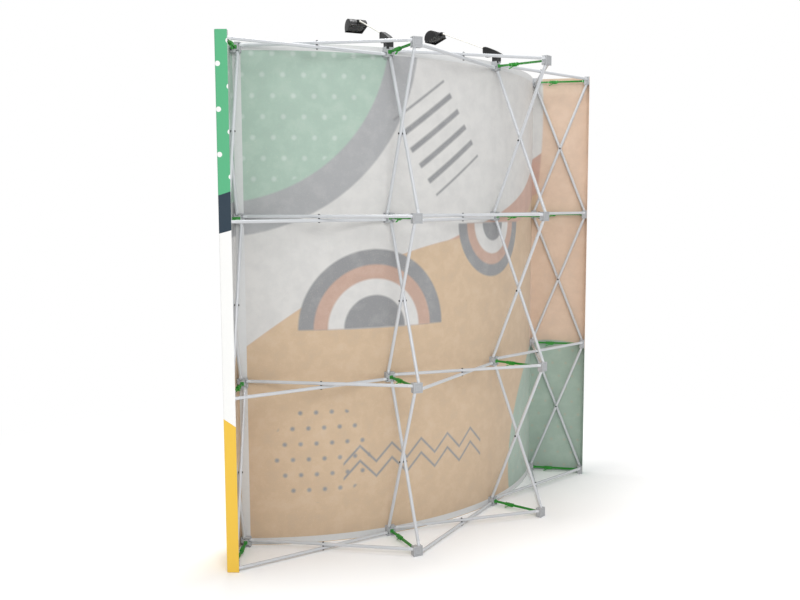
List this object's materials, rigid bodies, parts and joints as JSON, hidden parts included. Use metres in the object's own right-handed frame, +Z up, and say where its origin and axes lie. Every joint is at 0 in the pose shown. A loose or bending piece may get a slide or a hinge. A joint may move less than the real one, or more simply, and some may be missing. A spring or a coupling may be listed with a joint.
{
  "type": "pop up display backwall",
  "caption": "Curved folding display wall: a scissor frame of hubs and tubes with self-locking arms, a stretched printed fabric and clip-on lamps.",
  "frame": {"origin": "middle of the footprint, on the floor", "axes": "+Z up, -Y towards the viewer of the printed side, +X towards the left end as seen from behind"},
  "size_m": [2.2938, 0.7006, 2.4371],
  "materials": {
    "hub": "moulded grey plastic, fine satin",
    "pin": "steel pin",
    "tube": "satin anodised tube",
    "rivet": "black rivet cap",
    "lock_arm": "green moulded plastic",
    "lock_tab": "green moulded plastic",
    "printed_fabric": "stretched polyester with a dye print on the outer side",
    "lamp_body": "black moulded plastic",
    "lamp_rod": "off-white enamel",
    "lamp_lens": "clear pressed lens"
  },
  "bodies": {
    "front_column_1": {"front_hubs_1": "hub", "front_pins_1": "pin", "lock_sockets_1": "lock_arm", "end_fabric_1": "printed_fabric"},
    "back_column_1": {"back_hubs_1": "hub", "back_pins_1": "pin", "upright_braces_1": "tube", "brace_rivets_1": "rivet", "lock_bars_1": "lock_arm"},
    "lock_tabs_1": {"lock_tabs_1": "lock_tab"},
    "front_column_2": {"front_hubs_2": "hub", "front_pins_2": "pin", "lock_sockets_2": "lock_arm", "front_fabric_1": "printed_fabric", "front_fabric_2": "printed_fabric", "lamp_clamp_1": "lamp_body", "lamp_bracket_1": "lamp_body"},
    "back_column_2": {"back_hubs_2": "hub", "back_pins_2": "pin", "upright_braces_2": "tube", "brace_rivets_2": "rivet", "lock_bars_2": "lock_arm"},
    "lock_tabs_2": {"lock_tabs_2": "lock_tab"},
    "front_column_3": {"front_hubs_3": "hub", "front_pins_3": "pin", "lock_sockets_3": "lock_arm", "front_fabric_3": "printed_fabric", "lamp_clamp_2": "lamp_body", "lamp_bracket_2": "lamp_body"},
    "back_column_3": {"back_hubs_3": "hub", "back_pins_3": "pin", "upright_braces_3": "tube", "brace_rivets_3": "rivet", "lock_bars_3": "lock_arm"},
    "lock_tabs_3": {"lock_tabs_3": "lock_tab"},
    "front_column_4": {"front_hubs_4": "hub", "front_pins_4": "pin", "lock_sockets_4": "lock_arm", "end_fabric_4": "printed_fabric"},
    "back_column_4": {"back_hubs_4": "hub", "back_pins_4": "pin", "upright_braces_4": "tube", "brace_rivets_4": "rivet", "lock_bars_4": "lock_arm"},
    "lock_tabs_4": {"lock_tabs_4": "lock_tab"},
    "outward_tubes_1": {"outward_tubes_1": "tube", "bay_rivets_1": "rivet"},
    "inward_tubes_1": {"inward_tubes_1": "tube"},
    "outward_tubes_2": {"outward_tubes_2": "tube", "bay_rivets_2": "rivet"},
    "inward_tubes_2": {"inward_tubes_2": "tube"},
    "outward_tubes_3": {"outward_tubes_3": "tube", "bay_rivets_3": "rivet"},
    "inward_tubes_3": {"inward_tubes_3": "tube"},
    "lamp_arm_1": {"lamp_arm_1": "lamp_rod"},
    "lamp_head_1": {"lamp_head_1": "lamp_body", "lamp_lens_1": "lamp_lens"},
    "lamp_arm_2": {"lamp_arm_2": "lamp_rod"},
    "lamp_head_2": {"lamp_head_2": "lamp_body", "lamp_lens_2": "lamp_lens"}
  },
  "joints": [
    {"name": "frame_fold", "type": "hinge", "parent": "front_column_2", "child": "outward_tubes_2", "pos_m": [0.3181, 0.06318, 1.125], "axis": [0, 0, -1], "range_deg": [0, 74.23], "deforming": ["front_fabric_2"]},
    {"name": "bay_2_cross", "type": "hinge", "parent": "outward_tubes_2", "child": "inward_tubes_2", "pos_m": [0, 0.1871, 1.125], "axis": [0, 0, 1], "range_deg": [0, 123.43]},
    {"name": "front_column_3_turn", "type": "hinge", "parent": "inward_tubes_2", "child": "front_column_3", "pos_m": [-0.3181, 0.06318, 1.125], "axis": [0, 0, -1], "range_deg": [0, 74.23]},
    {"name": "back_column_2_turn", "type": "hinge", "parent": "inward_tubes_2", "child": "back_column_2", "pos_m": [0.3818, 0.33584, 1.125], "axis": [0, 0, -1], "range_deg": [0, 49.21]},
    {"name": "back_column_3_turn", "type": "hinge", "parent": "outward_tubes_2", "child": "back_column_3", "pos_m": [-0.3818, 0.33584, 1.125], "axis": [0, 0, 1], "range_deg": [0, 49.21]},
    {"name": "bay_3_swing", "type": "hinge", "parent": "front_column_3", "child": "outward_tubes_3", "pos_m": [-0.35511, 0.05454, 1.125], "axis": [0, 0, -1], "range_deg": [0, 74.23], "deforming": ["front_fabric_3"]},
    {"name": "bay_3_cross", "type": "hinge", "parent": "outward_tubes_3", "child": "inward_tubes_3", "pos_m": [-0.69519, 0.02469, 1.125], "axis": [0, 0, 1], "range_deg": [0, 123.43]},
    {"name": "front_column_4_turn", "type": "hinge", "parent": "inward_tubes_3", "child": "front_column_4", "pos_m": [-0.92545, -0.22735, 1.125], "axis": [0, 0, -1], "range_deg": [0, 74.23], "deforming": ["end_fabric_4"]},
    {"name": "back_column_4_turn", "type": "hinge", "parent": "outward_tubes_3", "child": "back_column_4", "pos_m": [-1.10337, -0.01114, 1.125], "axis": [0, 0, 1], "range_deg": [0, 49.21]},
    {"name": "bay_1_swing", "type": "hinge", "parent": "front_column_2", "child": "inward_tubes_1", "pos_m": [0.35511, 0.05454, 1.125], "axis": [0, 0, 1], "range_deg": [0, 74.23], "deforming": ["front_fabric_1"]},
    {"name": "bay_1_cross", "type": "hinge", "parent": "inward_tubes_1", "child": "outward_tubes_1", "pos_m": [0.69519, 0.02469, 1.125], "axis": [0, 0, -1], "range_deg": [0, 123.43]},
    {"name": "front_column_1_turn", "type": "hinge", "parent": "outward_tubes_1", "child": "front_column_1", "pos_m": [0.92545, -0.22735, 1.125], "axis": [0, 0, 1], "range_deg": [0, 74.23], "deforming": ["end_fabric_1"]},
    {"name": "back_column_1_turn", "type": "hinge", "parent": "inward_tubes_1", "child": "back_column_1", "pos_m": [1.10337, -0.01114, 1.125], "axis": [0, 0, -1], "range_deg": [0, 49.21]},
    {"name": "lock_release_1", "type": "slide", "parent": "front_column_1", "child": "lock_tabs_1", "axis": [0, 0, -1], "range_m": [0, 0.003], "stiffness_N_per_m": 600, "springref_m": -0.004},
    {"name": "lock_release_2", "type": "slide", "parent": "front_column_2", "child": "lock_tabs_2", "axis": [0, 0, -1], "range_m": [0, 0.003], "stiffness_N_per_m": 600, "springref_m": -0.004},
    {"name": "lock_release_3", "type": "slide", "parent": "front_column_3", "child": "lock_tabs_3", "axis": [0, 0, -1], "range_m": [0, 0.003], "stiffness_N_per_m": 600, "springref_m": -0.004},
    {"name": "lock_release_4", "type": "slide", "parent": "front_column_4", "child": "lock_tabs_4", "axis": [0, 0, -1], "range_m": [0, 0.003], "stiffness_N_per_m": 600, "springref_m": -0.004},
    {"name": "lamp_arm_tilt_1", "type": "hinge", "parent": "front_column_2", "child": "lamp_arm_1", "pos_m": [0.3212, -0.00707, 2.3197], "axis": [-0.9738, 0.2275, 0], "range_deg": [-20, 30]},
    {"name": "lamp_head_tilt_1", "type": "hinge", "parent": "lamp_arm_1", "child": "lamp_head_1", "pos_m": [0.26223, -0.25949, 2.42286], "axis": [-0.9738, 0.2275, 0], "range_deg": [-25, 40]},
    {"name": "lamp_arm_tilt_2", "type": "hinge", "parent": "front_column_3", "child": "lamp_arm_2", "pos_m": [-0.3212, -0.00707, 2.3197], "axis": [-0.9738, -0.2275, 0], "range_deg": [-20, 30]},
    {"name": "lamp_head_tilt_2", "type": "hinge", "parent": "lamp_arm_2", "child": "lamp_head_2", "pos_m": [-0.26223, -0.25949, 2.42286], "axis": [-0.9738, -0.2275, 0], "range_deg": [-25, 40]}
  ],
  "couplings": [
    {"joint": "bay_2_cross", "follows": "frame_fold", "ratio": 1.6629},
    {"joint": "front_column_3_turn", "follows": "frame_fold", "ratio": 1},
    {"joint": "back_column_2_turn", "follows": "frame_fold", "ratio": 0.66293},
    {"joint": "back_column_3_turn", "follows": "frame_fold", "ratio": 0.66293},
    {"joint": "bay_3_swing", "follows": "frame_fold", "ratio": 1},
    {"joint": "bay_3_cross", "follows": "frame_fold", "ratio": 1.6629},
    {"joint": "front_column_4_turn", "follows": "frame_fold", "ratio": 1},
    {"joint": "back_column_4_turn", "follows": "frame_fold", "ratio": 0.66293},
    {"joint": "bay_1_swing", "follows": "frame_fold", "ratio": 1},
    {"joint": "bay_1_cross", "follows": "frame_fold", "ratio": 1.6629},
    {"joint": "front_column_1_turn", "follows": "frame_fold", "ratio": 1},
    {"joint": "back_column_1_turn", "follows": "frame_fold", "ratio": 0.66293}
  ]
}
